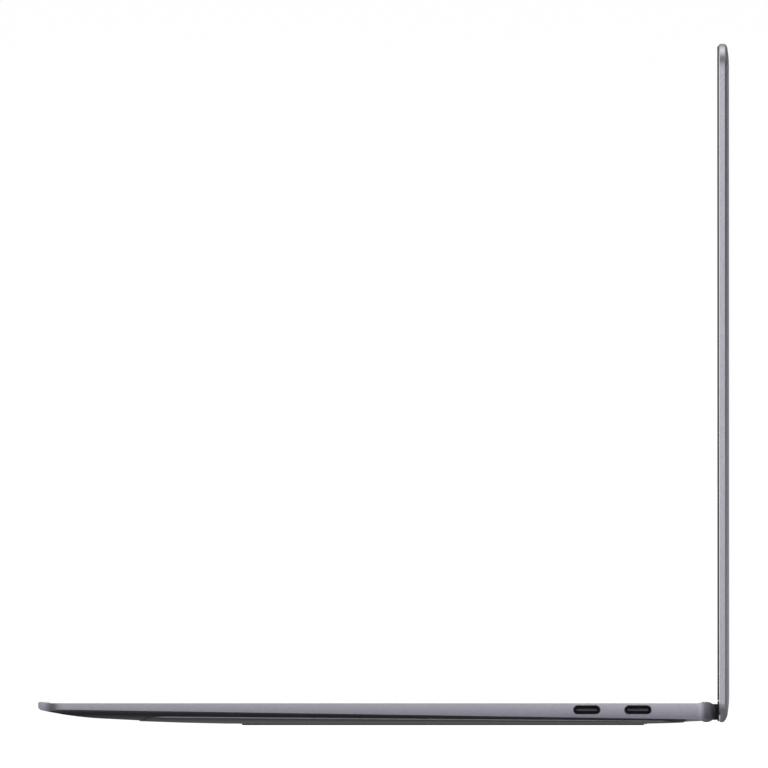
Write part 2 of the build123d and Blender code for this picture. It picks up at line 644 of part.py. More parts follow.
def hinge_bracket(side):
    """Plate screwed inside the base, ending in the friction sleeve round the lid's shaft."""
    with BuildPart() as bracket:
        with Locations((side * (BRACKET_IN + BRACKET_OUT) / 2, HINGE_Y, BRACKET_Z)):
            Box(13.0, HINGE_Y - back(192), 1.0, align=(Align.CENTER, Align.MAX, Align.MIN))
        with Locations(Location((side * (BRACKET_IN + BRACKET_OUT) / 2, HINGE_Y, HINGE_Z), (0, 90, 0))):
            Cylinder(SLEEVE_R, 13.0)
            Cylinder(SLEEVE_BORE, 20, mode=Mode.SUBTRACT)
        with Locations((0, 0, BRACKET_Z)):
            with Locations(mirrored(BRACKET_SCREWS)):
                Cylinder(SHANK_R + 0.05, 4, mode=Mode.SUBTRACT)
    return bracket.part


save(hinge_bracket(1), "hinge_bracket_right")
save(hinge_bracket(-1), "hinge_bracket_left")

ARM_IN = 109.0
ARM_OUT = 119.0
STRIP_IN = 84.0
STRIP_OUT = 120.4
ARM_FRONT = GLASS_FACE + 1.55
ARM_BACK = GLASS_FACE + 2.35
LID_SCREW_XS = (87, 96, 105)
LID_SCREW_Z = 6.6


def hinge_arm(side):
    """Steel shaft in the base's sleeve, a web through the barrel and a strip inside the lid."""
    with BuildPart() as arm:
        with Locations(Location((side * (ARM_IN + 134.5) / 2, HINGE_Y, HINGE_Z), (0, 90, 0))):
            Cylinder(SHAFT_R, 134.5 - ARM_IN)
        with Locations((side * (ARM_IN + ARM_OUT) / 2, HINGE_Y, HINGE_Z - 0.7)):
            Box(ARM_OUT - ARM_IN, ARM_BACK - HINGE_Y, 1.4, align=(Align.CENTER, Align.MIN, Align.MIN))
        with Locations((side * (STRIP_IN + STRIP_OUT) / 2, ARM_FRONT, HINGE_Z - 0.7)):
            Box(STRIP_OUT - STRIP_IN, ARM_BACK - ARM_FRONT, 5.6, align=(Align.CENTER, Align.MIN, Align.MIN))
        with Locations([Location((side * x, ARM_FRONT, LID_SCREW_Z), (90, 0, 0)) for x in LID_SCREW_XS]):
            Cylinder(0.6, 10, mode=Mode.SUBTRACT)
    return arm.part


save(hinge_arm(1), "hinge_arm_right")
save(hinge_arm(-1), "hinge_arm_left")

with BuildPart() as hinge_screws:
    for x in LID_SCREW_XS:
        for side in (1, -1):
            with Locations(Location((side * x, ARM_FRONT, LID_SCREW_Z), (-90, 0, 0))):
                Cylinder(1.5, 0.4, align=(Align.CENTER, Align.CENTER, Align.MAX))
                Cylinder(0.55, 1.4, align=(Align.CENTER, Align.CENTER, Align.MIN))
save(hinge_screws.part, "hinge_screws")

with BuildPart() as bracket_screws:
    with Locations([(x, y, BRACKET_Z) for x, y in mirrored(BRACKET_SCREWS)]):
        Cylinder(1.5, 0.5, align=(Align.CENTER, Align.CENTER, Align.MAX))
        Cylinder(SHANK_R, 2.6, align=(Align.CENTER, Align.CENTER, Align.MIN))
save(bracket_screws.part, "bracket_screws")

FLANGE_FRONT = GLASS_FACE
FLANGE_BACK = GLASS_FACE + 0.95
FLANGE_TOP = HINGE_Z + 3.6
with BuildPart() as hinge_cover:
    with Locations(Location((0, HINGE_Y, HINGE_Z), (0, 90, 0))):
        Cylinder(KNUCKLE, 2 * BARREL_HALF)
    with Locations((0, HINGE_Y + 1.5, HINGE_Z)):
        Box(2 * BARREL_HALF, 2.2, 5.2, align=(Align.CENTER, Align.MIN, Align.CENTER))
    with Locations((0, FLANGE_FRONT, LID_BOTTOM + 0.3)):
        Box(2 * BARREL_HALF, FLANGE_BACK - FLANGE_FRONT, FLANGE_TOP - LID_BOTTOM - 0.3,
            align=(Align.CENTER, Align.MIN, Align.MIN))
    with Locations(Location((0, HINGE_Y, HINGE_Z), (0, 90, 0))):
        Cylinder(KNUCKLE - 0.6, 2 * BARREL_HALF + 2, mode=Mode.SUBTRACT)
    for side in (1, -1):
        with Locations((side * (ARM_IN + ARM_OUT) / 2, HINGE_Y, HINGE_Z)):
            Box(ARM_OUT - ARM_IN + 0.6, 10, 2.0, align=(Align.CENTER, Align.MIN, Align.CENTER),
                mode=Mode.SUBTRACT)
    with Locations((0, HINGE_Y, HINGE_Z)):
        Box(18, 10, 1.2, align=(Align.CENTER, Align.MIN, Align.CENTER), mode=Mode.SUBTRACT)
save(hinge_cover.part, "hinge_cover")

# ---------------------------------------------------------------- lid
RIM_EDGE = 0.33
BAND_BACK = LID_BACK - 1.4     # where the side band ends and the pillowed back begins
PILLOW = 7.5
GLASS_INSET = 1.8
GASKET_INSET = 0.7
GLASS_BOTTOM = FLANGE_TOP + 1.2
PANEL_FRONT = GLASS_FACE + 0.85
LOW_CORNER_R = 1.05 * REAR_CORNER    # just flatter than tangent, so the lower edge meets it cleanly


def lid_plane(y):
    """Sketch plane across the lid at one Y, seen from the front with X to the right and Z up."""
    return Plane(origin=(0, y, 0), x_dir=(1, 0, 0), z_dir=(0, -1, 0))


with BuildPart() as lid_cover:
    with BuildSketch(lid_plane(LID_BACK)):
        with BuildLine():
            left = Line((-HALF, LID_BOTTOM + REAR_CORNER), (-HALF, LID_TOP - CORNER))
            top_left = TangentArc(left @ 1, (-HALF + CORNER, LID_TOP), tangent=(0, 1))
            top = Line(top_left @ 1, (HALF - CORNER, LID_TOP))
            top_right = TangentArc(top @ 1, (HALF, LID_TOP - CORNER), tangent=(1, 0))
            right = Line(top_right @ 1, (HALF, LID_BOTTOM + REAR_CORNER))
            low_right = RadiusArc(right @ 1, (HALF - REAR_CORNER, LID_BOTTOM), LOW_CORNER_R)
            low = Line(low_right @ 1, (-HALF + REAR_CORNER, LID_BOTTOM))
            RadiusArc(low @ 1, left @ 0, LOW_CORNER_R)
        make_face()
    extrude(amount=LID_BACK - LID_RIM)
    chamfer(faces().sort_by(Axis.Y)[0].edges(), RIM_EDGE)
    # pillowed back round the two sides and the top
    with BuildLine() as pillow_path:
        reach = LID_TOP - CORNER
        arc_inset = CORNER * (1 - sqrt(0.5))
        start = Line((HALF, LID_BACK, LID_BOTTOM - 5), (HALF, LID_BACK, reach))
        ThreePointArc(start @ 1, (HALF - arc_inset, LID_BACK, LID_TOP - arc_inset),
                      (HALF - CORNER, LID_BACK, LID_TOP))
        Line((HALF - CORNER, LID_BACK, LID_TOP), (-HALF + CORNER, LID_BACK, LID_TOP))
        ThreePointArc((-HALF + CORNER, LID_BACK, LID_TOP),
                      (-HALF + arc_inset, LID_BACK, LID_TOP - arc_inset),
                      (-HALF, LID_BACK, reach))
        Line((-HALF, LID_BACK, reach), (-HALF, LID_BACK, LID_BOTTOM - 5))
    with BuildSketch(Plane(origin=(HALF, LID_BACK, LID_BOTTOM - 5), x_dir=(1, 0, 0), z_dir=(0, 0, 1))):
        with BuildLine():
            shoulder = TangentArc((-PILLOW, 0), (-1.3, -0.55), tangent=(1, 0))
            turn = TangentArc(shoulder @ 1, (0, BAND_BACK - LID_BACK), tangent=shoulder % 1)
            Polyline(turn @ 1, (1, BAND_BACK - LID_BACK), (1, 1), (-PILLOW, 1), (-PILLOW, 0))
        make_face()
    sweep(path=pillow_path.line, mode=Mode.SUBTRACT)
    # rounder lower edge
    with BuildSketch(SIDE_ON):
        with BuildLine():
            fall = TangentArc((LID_BACK, LID_BOTTOM + 9), (LID_BACK - 0.5, LID_BOTTOM + 2.7), tangent=(0, -1))
            tuck = TangentArc(fall @ 1, (LID_BACK - 1.9, LID_BOTTOM), tangent=fall % 1)
            Polyline(tuck @ 1, (LID_BACK - 1.9, LID_BOTTOM - 1), (LID_BACK + 1, LID_BOTTOM - 1),
                     (LID_BACK + 1, LID_BOTTOM + 9), (LID_BACK, LID_BOTTOM + 9))
        make_face()
    extrude(amount=HALF + 1, both=True, mode=Mode.SUBTRACT)
    # seat for the gasket and glass, then the panel pocket, the chin pocket and the barrel recess
    with BuildSketch(lid_plane(LID_RIM)):
        with Locations((0, (GLASS_BOTTOM - 1 + LID_TOP - GASKET_INSET) / 2)):
            RectangleRounded(WIDTH - 2 * GASKET_INSET, LID_TOP - GASKET_INSET - GLASS_BOTTOM + 1, 7.3)
    extrude(amount=-(PANEL_FRONT - LID_RIM), mode=Mode.SUBTRACT)
    with BuildSketch(lid_plane(PANEL_FRONT)):
        with Locations((0, (9.6 + LID_TOP - 3.3) / 2)):
            RectangleRounded(WIDTH - 7, LID_TOP - 3.3 - 9.6, 0.8)
    extrude(amount=-1.9, mode=Mode.SUBTRACT)
    with Locations((0, FLANGE_BACK, HINGE_Z - 0.9)):
        Box(2 * BARREL_HALF - 0.2, ARM_BACK - FLANGE_BACK + 0.1, 6.4,
            align=(Align.CENTER, Align.MIN, Align.MIN), mode=Mode.SUBTRACT)
    with Locations((0, FLANGE_BACK, 0)):
        Box(2 * BARREL_HALF + 0.3, 3, FLANGE_TOP + 0.1, align=(Align.CENTER, Align.MAX, Align.MIN),
            mode=Mode.SUBTRACT)
    for x in LID_SCREW_XS:
        for side in (1, -1):
            with Locations(Location((side * x, ARM_BACK, LID_SCREW_Z), (-90, 0, 0))):
                Cylinder(0.6, 0.7, align=(Align.CENTER, Align.CENTER, Align.MIN), mode=Mode.SUBTRACT)
save(lid_cover.part, "lid_cover")

with BuildPart() as lid_gasket:
    with BuildSketch(lid_plane(GLASS_FACE)):
        with Locations((0, (GLASS_BOTTOM - 1 + LID_TOP - GASKET_INSET) / 2)):
            RectangleRounded(WIDTH - 2 * GASKET_INSET, LID_TOP - GASKET_INSET - GLASS_BOTTOM + 1, 7.3)
        with Locations((0, (GLASS_BOTTOM + LID_TOP - GLASS_INSET) / 2)):
            RectangleRounded(WIDTH - 2 * GLASS_INSET, LID_TOP - GLASS_INSET - GLASS_BOTTOM, 6.2,
                             mode=Mode.SUBTRACT)
    extrude(amount=-(PANEL_FRONT - GLASS_FACE))
    chamfer(faces().sort_by(Axis.Y)[0].edges(), 0.2)
save(lid_gasket.part, "lid_gasket")

with BuildPart() as cover_glass:
    with BuildSketch(lid_plane(GLASS_FACE + 0.2)):
        with Locations((0, (GLASS_BOTTOM + LID_TOP - GLASS_INSET) / 2)):
            RectangleRounded(WIDTH - 2 * GLASS_INSET, LID_TOP - GLASS_INSET - GLASS_BOTTOM, 6.2)
    extrude(amount=-(PANEL_FRONT - GLASS_FACE - 0.2))
    chamfer(faces().sort_by(Axis.Y)[0].edges(), 0.08)
save(cover_glass.part, "cover_glass")

PANEL_TOP = 212.5
with BuildPart() as display_panel:
    with Locations((0, PANEL_FRONT, 10.0)):
        Box(302.4, 1.5, PANEL_TOP - 10, align=(Align.CENTER, Align.MIN, Align.MIN))
save(display_panel.part, "display_panel")

CAMERA_Z = 216.3
with BuildPart() as camera_module:
    with Locations((0, PANEL_FRONT + 0.5, CAMERA_Z)):
        Box(60, 0.9, 4.4, align=(Align.CENTER, Align.MIN, Align.CENTER))
    with Locations(Location((0, PANEL_FRONT, CAMERA_Z), (-90, 0, 0))):
        Cylinder(2.0, 0.5, align=(Align.CENTER, Align.CENTER, Align.MIN))
    with Locations(Location((-12, PANEL_FRONT, CAMERA_Z), (-90, 0, 0))):
        Cylinder(0.8, 0.5, align=(Align.CENTER, Align.CENTER, Align.MIN))
save(camera_module.part, "camera_module")

with BuildPart() as display_cable:
    with Locations((0, HINGE_Y, HINGE_Z)):
        Cylinder(1.0, 120, rotation=(0, 90, 0))
    with Locations((0, HINGE_Y, HINGE_Z)):
        Box(16, ARM_BACK - HINGE_Y - 0.4, 0.6, align=(Align.CENTER, Align.MIN, Align.CENTER))
    with Locations((0, ARM_BACK - 0.9, HINGE_Z - 0.3)):
        Box(16, 0.4, 5.6, align=(Align.CENTER, Align.MIN, Align.MIN))
save(display_cable.part, "display_cable")
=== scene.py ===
"""Looks for the laptop computer: materials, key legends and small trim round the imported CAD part."""
from math import cos, pi, sin

import bpy
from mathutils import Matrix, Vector


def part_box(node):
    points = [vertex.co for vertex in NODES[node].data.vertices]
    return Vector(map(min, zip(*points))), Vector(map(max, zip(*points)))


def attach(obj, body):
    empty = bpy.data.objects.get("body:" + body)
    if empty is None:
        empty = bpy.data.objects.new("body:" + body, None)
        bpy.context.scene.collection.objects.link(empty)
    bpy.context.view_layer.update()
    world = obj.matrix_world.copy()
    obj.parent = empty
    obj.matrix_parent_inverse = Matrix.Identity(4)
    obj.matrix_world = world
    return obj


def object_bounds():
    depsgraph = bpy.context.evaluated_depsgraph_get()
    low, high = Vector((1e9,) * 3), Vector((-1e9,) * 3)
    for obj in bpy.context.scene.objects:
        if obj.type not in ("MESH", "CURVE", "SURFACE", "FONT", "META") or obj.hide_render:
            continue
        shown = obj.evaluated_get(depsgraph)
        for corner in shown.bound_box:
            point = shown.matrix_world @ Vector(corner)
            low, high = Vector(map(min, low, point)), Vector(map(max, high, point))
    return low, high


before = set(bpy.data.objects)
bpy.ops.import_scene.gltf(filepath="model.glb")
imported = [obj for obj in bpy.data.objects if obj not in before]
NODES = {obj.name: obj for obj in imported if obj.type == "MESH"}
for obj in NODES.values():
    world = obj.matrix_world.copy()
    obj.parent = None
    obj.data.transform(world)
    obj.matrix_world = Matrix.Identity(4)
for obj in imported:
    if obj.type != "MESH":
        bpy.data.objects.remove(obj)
CAD_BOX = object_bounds()
SCENE = bpy.context.scene

MM = 0.001
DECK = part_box("top_case")[1].z
LID_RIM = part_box("lid_cover")[0].y
GLASS_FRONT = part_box("cover_glass")[0].y


# ---------------------------------------------------------------- material tools
class Shader:
    """A Principled node material, with short calls for the nodes that feed it."""

    def __init__(self, name, colour, roughness, metallic=0.0, **sockets):
        self.material = bpy.data.materials.new(name)
        self.material.use_nodes = True
        self.tree = self.material.node_tree
        self.surface = self.tree.nodes["Principled BSDF"]
        self.place = self.add("ShaderNodeTexCoord").outputs["Object"]
        self.surface.inputs["Base Color"].default_value = (*colour, 1)
        self.surface.inputs["Roughness"].default_value = roughness
        self.surface.inputs["Metallic"].default_value = metallic
        for socket, value in sockets.items():
            self.surface.inputs[socket.replace("_", " ")].default_value = value

    def add(self, kind, **properties):
        node = self.tree.nodes.new(kind)
        for name, value in properties.items():
            setattr(node, name, value)
        return node

    def link(self, source, target):
        self.tree.links.new(source, target)

    def along(self, axis):
        """The object's own coordinate on one axis, in metres."""
        split = self.add("ShaderNodeSeparateXYZ")
        self.link(self.place, split.inputs["Vector"])
        return split.outputs[axis]

    def maths(self, operation, *operands):
        """One step of arithmetic; each operand is a socket or a number."""
        node = self.add("ShaderNodeMath", operation=operation)
        for socket, operand in zip(node.inputs, operands):
            if isinstance(operand, float):
                socket.default_value = operand
            else:
                self.link(operand, socket)
        return node.outputs["Value"]

    def noise(self, scale, detail=3.0, stretch=(1, 1, 1)):
        """Noise from 0 to 1; scale is in features per metre, times stretch along each axis."""
        mapping = self.add("ShaderNodeMapping")
        mapping.inputs["Scale"].default_value = stretch
        self.link(self.place, mapping.inputs["Vector"])
        node = self.add("ShaderNodeTexNoise")
        node.inputs["Scale"].default_value = scale
        node.inputs["Detail"].default_value = detail
        self.link(mapping.outputs["Vector"], node.inputs["Vector"])
        return node.outputs["Fac"]

    def cells(self, scale):
        """Distance to the nearest of many scattered points."""
        node = self.add("ShaderNodeTexVoronoi")
        node.inputs["Scale"].default_value = scale
        self.link(self.place, node.inputs["Vector"])
        return node.outputs["Distance"]

    def ramp(self, source, low, high, at=(0.3, 0.7)):
        """A colour that goes from low to high as source goes between the two values of at."""
        node = self.add("ShaderNodeValToRGB")
        first, second = node.color_ramp.elements
        first.position, second.position = at
        first.color, second.color = (*low, 1), (*high, 1)
        self.link(source, node.inputs["Fac"])
        return node.outputs["Color"]

    def between(self, source, low, high, at=(0.3, 0.7)):
        """A number that goes from low to high as source goes between the two values of at."""
        node = self.add("ShaderNodeMapRange")
        node.inputs["From Min"].default_value, node.inputs["From Max"].default_value = at
        node.inputs["To Min"].default_value, node.inputs["To Max"].default_value = low, high
        self.link(source, node.inputs["Value"])
        return node.outputs["Result"]

    def colour_from(self, colour):
        self.link(colour, self.surface.inputs["Base Color"])

    def roughness_from(self, value):
        self.link(value, self.surface.inputs["Roughness"])

    def bump(self, height, strength, relief):
        """Relief, in metres, on top of any relief already there."""
        node = self.add("ShaderNodeBump")
        node.inputs["Strength"].default_value = strength
        node.inputs["Distance"].default_value = relief
        self.link(height, node.inputs["Height"])
        normal = self.surface.inputs["Normal"]
        if normal.is_linked:
            self.link(normal.links[0].from_socket, node.inputs["Normal"])
        self.link(node.outputs["Normal"], normal)


def tinted(colour, factor):
    return tuple(min(1.0, c * factor) for c in colour)


def shades(colour, spread):
    """A slightly darker and a slightly lighter version of a colour."""
    return tinted(colour, 1 - spread), tinted(colour, 1 + spread)


# ---------------------------------------------------------------- materials
def blasted_aluminium(name, colour, roughness=0.42, painted_shade=None):
    """Bead-blasted anodised aluminium: a fine pitted grain with faint cloudy changes of tone.

    The painted-shade argument is (low, high, tone): from the height high down to low, the colour is
    darkened to tone times itself, a painted shade standing in for the shade towards the undercut.
    """
    shader = Shader(name, colour, roughness, metallic=0.9)
    anodising_and_painted_shade = shader.ramp(shader.noise(16, detail=2), *shades(colour, 0.015))
    # painted shade: the colour is darkened below a given height, standing in for the shade towards the
    # undercut
    if painted_shade:
        low, high, tone = painted_shade
        level = shader.between(shader.along("Z"), 0.0, 1.0, at=(low, high))
        depth = shader.ramp(level, tone, (1, 1, 1), at=(0, 1))
        painted_shade_mix = shader.add("ShaderNodeMix", data_type="RGBA", blend_type="MULTIPLY")
        painted_shade_mix.inputs["Factor"].default_value = 1
        shader.link(anodising_and_painted_shade, painted_shade_mix.inputs["A"])
        shader.link(depth, painted_shade_mix.inputs["B"])
        anodising_and_painted_shade = painted_shade_mix.outputs["Result"]
    shader.colour_from(anodising_and_painted_shade)
    shader.roughness_from(shader.between(shader.noise(1300), roughness - 0.03, roughness + 0.03))
    shader.bump(shader.noise(7000, detail=2), 0.22, 0.02 * MM)
    shader.bump(shader.cells(11000), 0.12, 0.01 * MM)
    return shader.material


def polished_edge():
    """Diamond-cut chamfer: bright, with faint tool lines along the cut."""
    shader = Shader("polished_chamfer", (0.66, 0.655, 0.68), 0.16, metallic=1.0)
    tool_lines = shader.noise(60, detail=2, stretch=(1, 1, 90))
    shader.roughness_from(shader.between(tool_lines, 0.12, 0.24))
    shader.bump(tool_lines, 0.04, 0.01 * MM)
    return shader.material


def soft_plastic(name, colour, roughness, grain=3200, depth=0.35):
    """Moulded plastic with spark-eroded grain and slightly uneven gloss."""
    shader = Shader(name, colour, roughness)
    shader.colour_from(shader.ramp(shader.noise(90), *shades(colour, 0.06)))
    shader.roughness_from(shader.between(shader.noise(260), roughness - 0.05, roughness + 0.06))
    shader.bump(shader.noise(grain), depth, 0.03 * MM)
    return shader.material


def rubber():
    """Matt black rubber, uneven in gloss and faintly lumpy."""
    shader = Shader("black_rubber", (0.016, 0.016, 0.017), 0.72)
    shader.roughness_from(shader.between(shader.noise(420), 0.62, 0.82))
    shader.bump(shader.noise(2400, detail=4), 0.4, 0.04 * MM)
    shader.bump(shader.cells(900), 0.12, 0.03 * MM)
    return shader.material


def brushed_steel(name, colour, roughness=0.34):
    """Steel or nickel with brush lines that run along X."""
    shader = Shader(name, colour, roughness, metallic=1.0)
    lines = shader.noise(240, detail=5, stretch=(1, 26, 26))
    shader.colour_from(shader.ramp(lines, tinted(colour, 0.82), tinted(colour, 1.12)))
    shader.roughness_from(shader.between(lines, roughness - 0.08, roughness + 0.1))
    shader.bump(lines, 0.18, 0.02 * MM)
    return shader.material


ACTIVE_HALF_WIDE, ACTIVE_HALF_HIGH = 150.05 * MM, 100.05 * MM    # the panel's picture area
LOWER_BORDER = 4.0 * MM
BORDER_BLUR = 0.05 * MM


def screen_glass():
    """Cover glass over a switched-off panel: a black ink border round a panel a shade lighter."""
    shader = Shader("screen_glass", (0.004, 0.004, 0.005), 0.045, Specular_IOR_Level=0.24)
    low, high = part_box("cover_glass")

    def inside(axis, centre, half):
        """1 within half of the centre on one axis, and 0 outside."""
        distance = shader.maths("ABSOLUTE", shader.maths("SUBTRACT", shader.along(axis), centre))
        return shader.between(distance, 1.0, 0.0, at=(half - BORDER_BLUR, half + BORDER_BLUR))

    active = shader.maths("MULTIPLY",
                          inside("X", (low.x + high.x) / 2, ACTIVE_HALF_WIDE),
                          inside("Z", low.z + LOWER_BORDER + ACTIVE_HALF_HIGH, ACTIVE_HALF_HIGH))
    panel = shader.ramp(shader.noise(5200, detail=1), (0.0085, 0.009, 0.011), (0.0115, 0.012, 0.0145))
    mix = shader.add("ShaderNodeMix", data_type="RGBA")
    shader.link(active, mix.inputs["Factor"])
    mix.inputs["A"].default_value = (0.0035, 0.0035, 0.004, 1)
    shader.link(panel, mix.inputs["B"])
    shader.colour_from(mix.outputs["Result"])
    smears = shader.noise(34, detail=5)
    shader.roughness_from(shader.between(smears, 0.03, 0.085, at=(0.45, 0.75)))
    return shader.material


def etched_glass(colour):
    """Touchpad glass: a silky etch in the case's colour."""
    shader = Shader("etched_glass", colour, 0.32, metallic=0.35, Coat_Weight=0.2, Coat_Roughness=0.25)
    shader.colour_from(shader.ramp(shader.noise(30), *shades(colour, 0.03)))
    shader.roughness_from(shader.between(shader.noise(180), 0.29, 0.37))
    shader.bump(shader.noise(9000, detail=1), 0.08, 0.01 * MM)
    return shader.material


def circuit_board():
    """Dark green solder mask over copper tracks."""
    shader = Shader("circuit_board", (0.008, 0.035, 0.024), 0.36)
    tracks = shader.add("ShaderNodeTexBrick")
    tracks.inputs["Scale"].default_value = 420
    tracks.inputs["Mortar Size"].default_value = 0.035
    tracks.inputs["Color1"].default_value = (0.006, 0.030, 0.020, 1)
    tracks.inputs["Color2"].default_value = (0.009, 0.042, 0.028, 1)
    tracks.inputs["Mortar"].default_value = (0.030, 0.085, 0.045, 1)
    shader.link(shader.place, tracks.inputs["Vector"])
    shader.colour_from(tracks.outputs["Color"])
    shader.bump(tracks.outputs["Fac"], 0.25, 0.04 * MM)
    shader.roughness_from(shader.between(shader.noise(600), 0.28, 0.5))
    return shader.material


def bare_copper():
    """Copper with cloudy tarnish, rougher where it is darker."""
    shader = Shader("bare_copper", (0.72, 0.34, 0.20), 0.32, metallic=1.0)
    tarnish = shader.noise(95, detail=6)
    shader.colour_from(shader.ramp(tarnish, (0.48, 0.20, 0.11), (0.80, 0.42, 0.26)))
    shader.roughness_from(shader.between(tarnish, 0.42, 0.24))
    shader.bump(shader.noise(1500), 0.2, 0.03 * MM)
    return shader.material


def battery_foil():
    """Black pouch foil with soft wrinkles."""
    shader = Shader("battery_foil", (0.018, 0.018, 0.02), 0.3)
    wrinkle = shader.noise(120, detail=7, stretch=(1, 2.5, 1))
    shader.roughness_from(shader.between(wrinkle, 0.22, 0.45))
    shader.bump(wrinkle, 0.5, 0.3 * MM)
    return shader.material


def lens_glass():
    """The camera's dark, faintly blue front glass."""
    shader = Shader("lens_glass", (0.010, 0.012, 0.030), 0.04, Specular_IOR_Level=0.8, Coat_Weight=0.6)
    shader.bump(shader.noise(260, detail=1), 0.05, 0.04 * MM)
    return shader.material


CASE_COLOUR = (0.315, 0.308, 0.345)                          # dark grey anodising
SIDE_PAINTED_SHADE = (2.6 * MM, 7.4 * MM, (0.45, 0.45, 0.50))     # painted shade: the side's colour darkens towards the undercut, standing in for the shade there
CASE = blasted_aluminium("case_blasted", tinted(CASE_COLOUR, 1.32), painted_shade=SIDE_PAINTED_SHADE)
LID_CASE = blasted_aluminium("lid_blasted", tinted(CASE_COLOUR, 1.24))
COVER_CASE = blasted_aluminium("cover_blasted", tinted(CASE_COLOUR, 0.8), roughness=0.48)
POLISHED = polished_edge()
RUBBER = rubber()
KEYCAP = soft_plastic("keycap", (0.013, 0.013, 0.0145), 0.46, grain=3600, depth=0.3)
BLACK = soft_plastic("black_plastic", (0.018, 0.018, 0.0195), 0.5)
HINGE_BLACK = soft_plastic("hinge_plastic", (0.012, 0.012, 0.013), 0.44, grain=2600)
CHIP = soft_plastic("moulded_chip", (0.014, 0.014, 0.014), 0.42, grain=1800)
STEEL = brushed_steel("brushed_steel", (0.50, 0.50, 0.51))
SCREW = brushed_steel("screw_steel", (0.20, 0.20, 0.215), roughness=0.3)
NICKEL = brushed_steel("dark_nickel", (0.030, 0.029, 0.034), roughness=0.42)
TONGUE = soft_plastic("port_tongue", (0.050, 0.049, 0.056), 0.45, grain=4200)
LEGEND = soft_plastic("key_legend", (0.70, 0.70, 0.72), 0.5, grain=5200, depth=0.1)
INK_RING = soft_plastic("ink_ring", (0.022, 0.022, 0.025), 0.3, grain=4200, depth=0.1)

FINISHES = {
    CASE: ["top_case", "speaker_grilles"],
    LID_CASE: ["lid_cover"],
    COVER_CASE: ["bottom_cover"],
    RUBBER: ["rubber_feet", "lid_gasket", "key_domes"],
    SCREW: ["cover_screws", "hinge_screws", "bracket_screws"],
    STEEL: ["keyboard_plate", "touchpad_bracket", "hinge_bracket_left", "hinge_bracket_right",
            "hinge_arm_left", "hinge_arm_right"],
    NICKEL: ["port_receptacles"],
    BLACK: ["keyboard_frame", "fan_housing_left", "fan_housing_right", "fan_rotor_left",
            "fan_rotor_right", "speaker_left", "speaker_right", "audio_jack", "camera_module"],
    HINGE_BLACK: ["hinge_cover"],
    circuit_board(): ["main_board", "port_boards", "touchpad_board"],
    CHIP: ["board_chips", "drive_module", "radio_module"],
    bare_copper(): ["heat_pipe", "fin_stacks"],
    battery_foil(): ["battery_pack", "display_cable"],
    etched_glass(tinted(CASE_COLOUR, 1.2)): ["touchpad_glass"],
    screen_glass(): ["cover_glass", "display_panel"],
    KEYCAP: ["power_button"] + [name for name in NODES if name != "key_domes"
                                and (name.startswith("key_") or name.endswith("_keys"))],
}
for finish, names in FINISHES.items():
    for name in names:
        NODES[name].data.materials.clear()
        NODES[name].data.materials.append(finish)


# ---------------------------------------------------------------- second materials on some faces
def paint_faces(name, finish, chosen):
    """Give the faces of a CAD node that chosen(centre, normal) picks a second material."""
    mesh = NODES[name].data
    mesh.materials.append(finish)
    slot = len(mesh.materials) - 1
    for face in mesh.polygons:
        if chosen(face.center, face.normal):
            face.material_index = slot


def slanted(component):
    """Whether a face leans like a chamfer, from how far its normal points one way."""
    return 0.3 < component < 0.95


SLACK = 0.02 * MM
DECK_CHAMFER = 0.35 * MM + SLACK
LID_CHAMFER = 0.33 * MM + SLACK
TONGUE_HALF_HIGH = 0.37 * MM
TONGUE_SETBACK = 0.3 * MM
PORT_LOW, PORT_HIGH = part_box("port_receptacles")
PORT_MIDDLE = (PORT_LOW.z + PORT_HIGH.z) / 2
paint_faces("top_case", POLISHED, lambda c, n: c.z > DECK - DECK_CHAMFER and slanted(n.z))
paint_faces("lid_cover", POLISHED, lambda c, n: c.y < LID_RIM + LID_CHAMFER and slanted(-n.y))
paint_faces("port_receptacles", TONGUE, lambda c, n: (abs(c.z - PORT_MIDDLE) < TONGUE_HALF_HIGH
                                                      and abs(c.x) < PORT_HIGH.x - TONGUE_SETBACK))

# ---------------------------------------------------------------- key legends
KEY_PITCH = 19.05 * MM
CAP_WIDE = KEY_PITCH - 2.6 * MM
KEY_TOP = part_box("key_space_bar")[1].z
LEGEND_LIFT = 0.012 * MM
LEGEND_THICK = 0.004 * MM
LETTER_SIZE = 3.6 * MM
NUMBER_SIZE = 3.0 * MM
WORD_SIZE = 2.0 * MM
NUMBER_SHIFT = 2.6 * MM          # a number stands this far below the cap's middle, its sign above
WORD_INSET = 2.6 * MM


def legend(text, node, x, y, size, align="CENTER"):
    """A printed legend lying on a cap, moving with that cap."""
    curve = bpy.data.curves.new("legend", "FONT")
    curve.body = text
    curve.size = size
    curve.align_x = align
    curve.align_y = "CENTER"
    curve.extrude = LEGEND_THICK
    curve.materials.append(LEGEND)
    piece = bpy.data.objects.new(f"legend_{node}_{len(bpy.data.curves)}", curve)
    SCENE.collection.objects.link(piece)
    piece.location = (x, y, KEY_TOP + LEGEND_LIFT)
    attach(piece, node)


def legends_along(node, texts, size, shift=0.0):
    """One legend on each cap of an evenly pitched row, shifted towards the screen."""
    low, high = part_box(node)
    for index, text in enumerate(texts):
        x = low.x + CAP_WIDE / 2 + index * KEY_PITCH
        legend(text, node, x, (low.y + high.y) / 2 + shift, size)


def legend_alone(node, text, side="CENTER"):
    """A word on one wide cap, near the named end."""
    low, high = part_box(node)
    x = {"CENTER": (low.x + high.x) / 2, "LEFT": low.x + WORD_INSET, "RIGHT": high.x - WORD_INSET}[side]
    legend(text, node, x, (low.y + high.y) / 2, WORD_SIZE, side)


